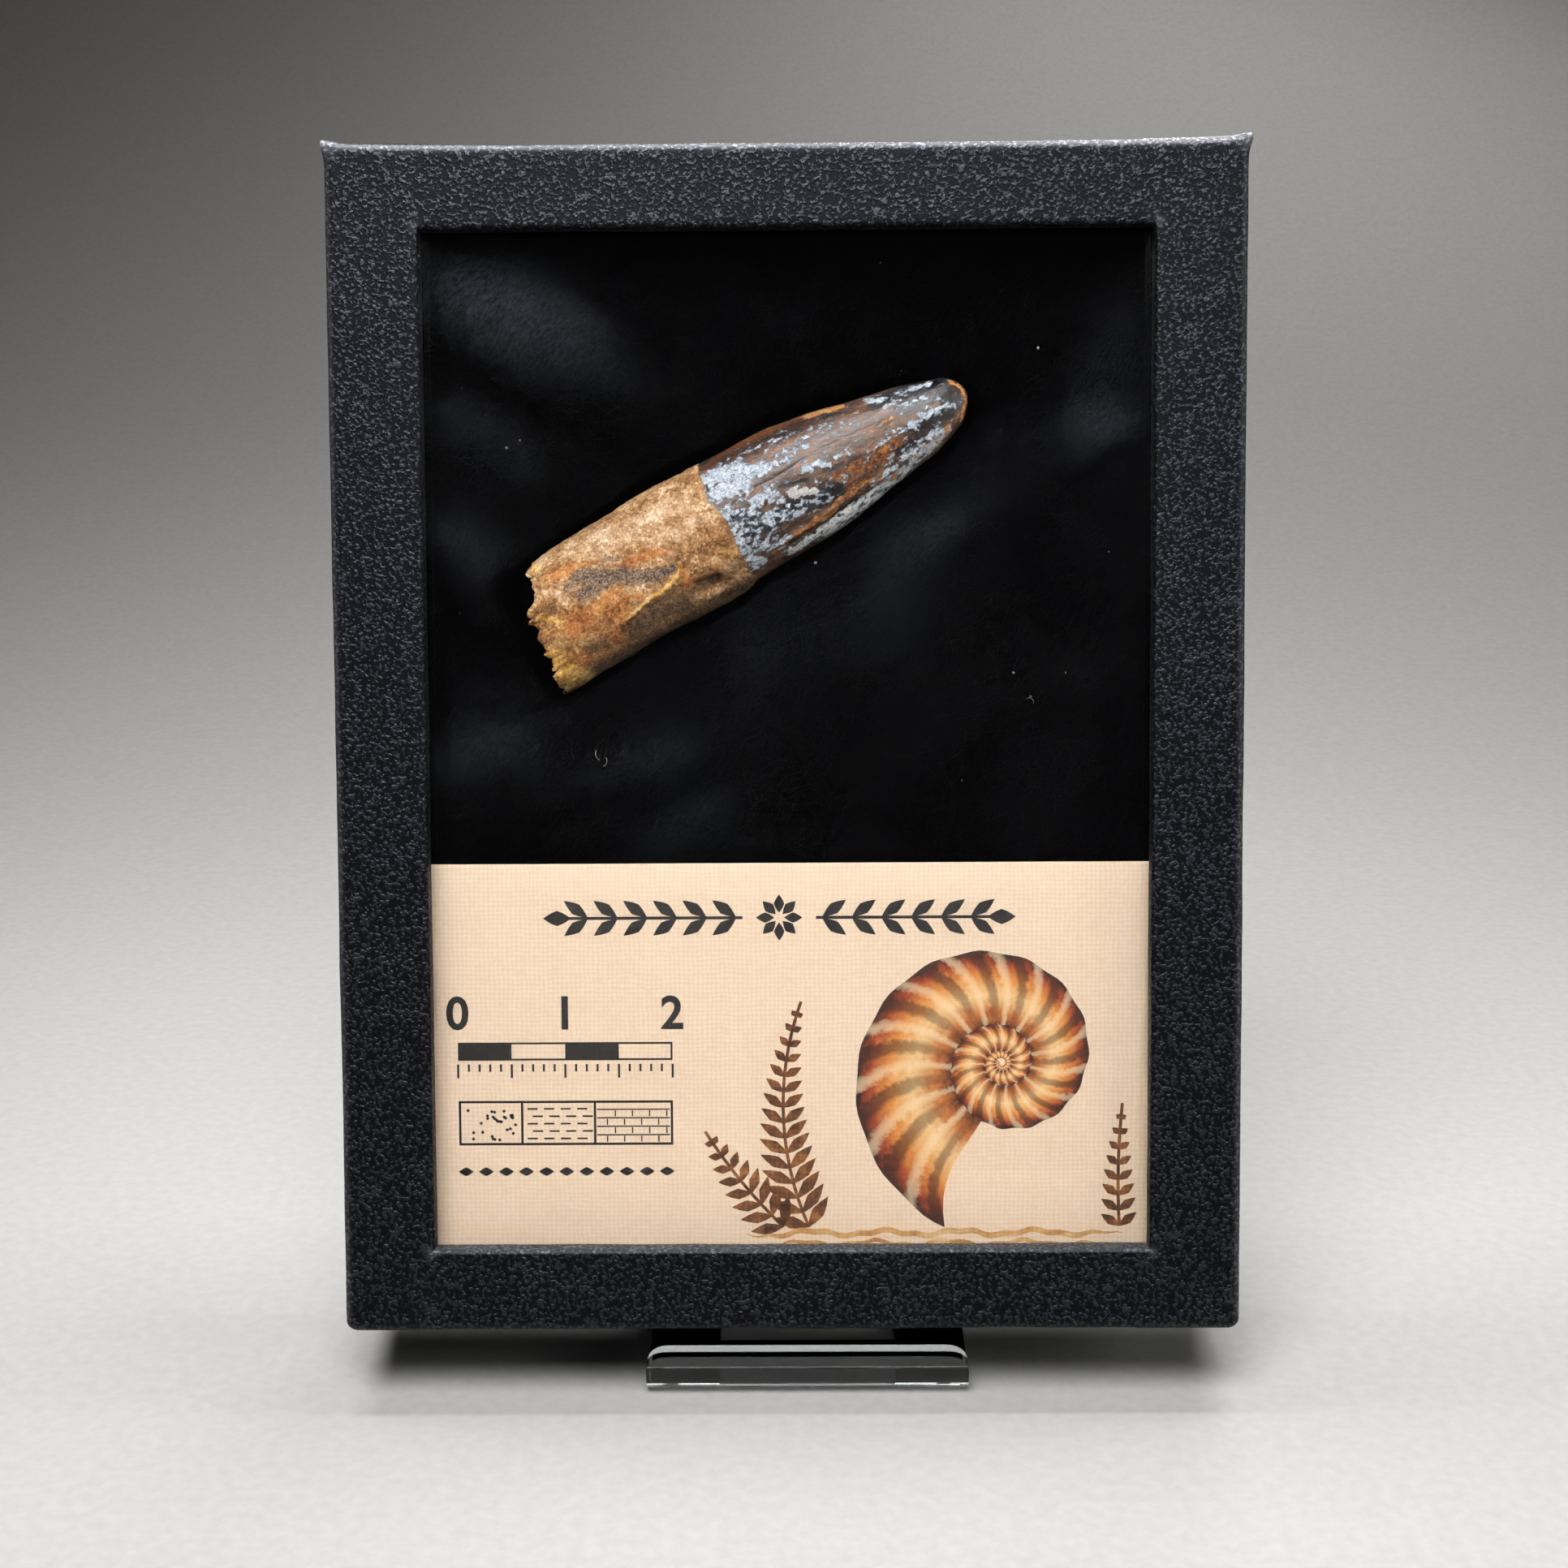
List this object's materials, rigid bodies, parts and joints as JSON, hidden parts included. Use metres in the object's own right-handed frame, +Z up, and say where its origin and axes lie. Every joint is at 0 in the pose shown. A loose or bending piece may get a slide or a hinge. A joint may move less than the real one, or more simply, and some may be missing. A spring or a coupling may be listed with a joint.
{
  "type": "fossil tooth in a glazed specimen box on an easel",
  "caption": "Fossil tooth held on black fibre under the glass of a paper-covered specimen box with a printed card, leaning on a small clear easel.",
  "frame": {"origin": "on the ground, under the middle of the whole object's box", "axes": "+Z up, -Y out of the window towards the viewer, +X to the viewer's right"},
  "size_m": [0.0826, 0.0416, 0.1132],
  "materials": {
    "black_embossed_paper": "board covered in black paper embossed with a fine leather grain, slightly glossy",
    "window_glass": "clear polished sheet glass",
    "plain_black_paper": "board covered in plain black paper, matt",
    "black_fibre": "soft black polyester fibre",
    "fossil": "sandy tan root and glossy brown and blue-grey mottled enamel",
    "cream_card": null,
    "clear_acrylic": "clear acrylic sheet with polished edges"
  },
  "bodies": {
    "root": {"lid": "black_embossed_paper", "glass_pane": "window_glass", "tray": "plain_black_paper", "batting": "black_fibre", "tooth": "fossil", "label_card": "cream_card", "easel": "clear_acrylic"}
  },
  "joints": []
}
